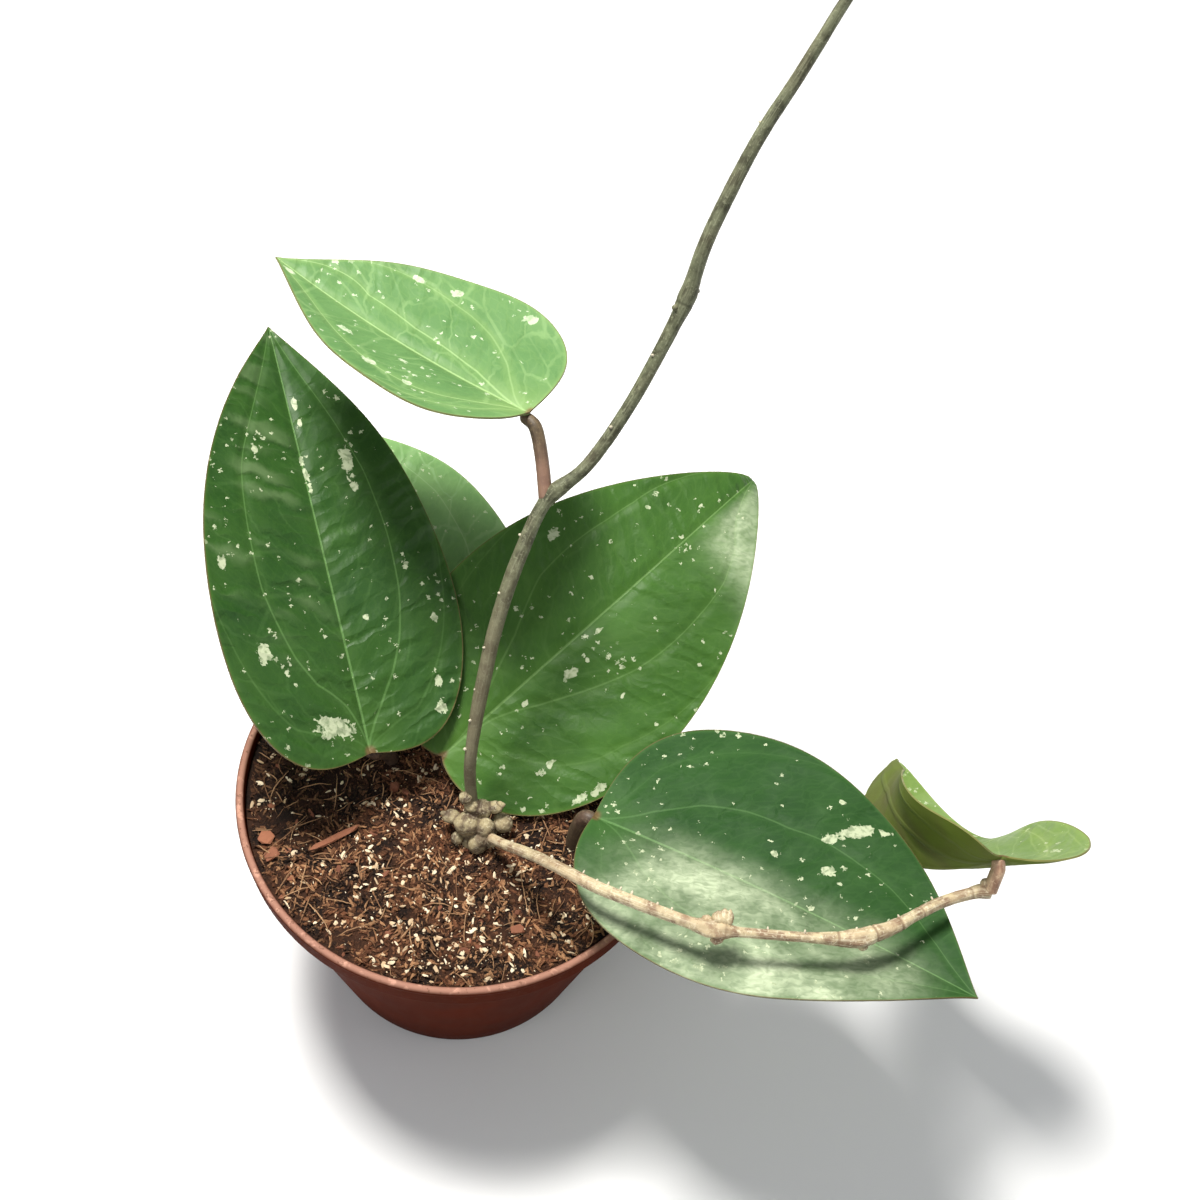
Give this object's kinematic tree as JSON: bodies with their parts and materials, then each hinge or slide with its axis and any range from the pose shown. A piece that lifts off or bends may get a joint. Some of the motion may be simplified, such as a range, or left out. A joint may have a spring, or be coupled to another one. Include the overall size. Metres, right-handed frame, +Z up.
{
  "type": "potted hoya plant",
  "caption": "Young hoya vine with large leathery leaves, standing in a filled round plastic nursery pot.",
  "frame": {"origin": "centre of the pot's flat foot, on the surface that the pot stands on", "axes": "+Z up, +X to the right of the picture, towards the trailing vine, +Y away from the viewer"},
  "size_m": [0.2332, 0.1689, 0.2844],
  "materials": {
    "terracotta_plastic": "semi-matt moulded plastic",
    "bark_soil": "damp bark and coir mix with pale flakes",
    "woody_crown": "rough knobbly bark",
    "grey_vine": "smooth mottled grey-brown bark",
    "tan_vine": "fibrous tan bark",
    "dark_leaf": "deep green waxy leaf with cream flecks",
    "mid_leaf": "mid green waxy leaf with cream flecks",
    "pale_leaf": "light green waxy young leaf"
  },
  "bodies": {
    "root": {"pot": "terracotta_plastic", "soil": "bark_soil", "crown": "woody_crown", "tall_vine": "grey_vine", "trailing_vine": "tan_vine", "leaf_left": "dark_leaf", "leaf_front": "dark_leaf", "leaf_centre": "mid_leaf", "leaf_upper": "pale_leaf", "leaf_far": "pale_leaf", "leaf_rear": "pale_leaf"}
  },
  "joints": []
}
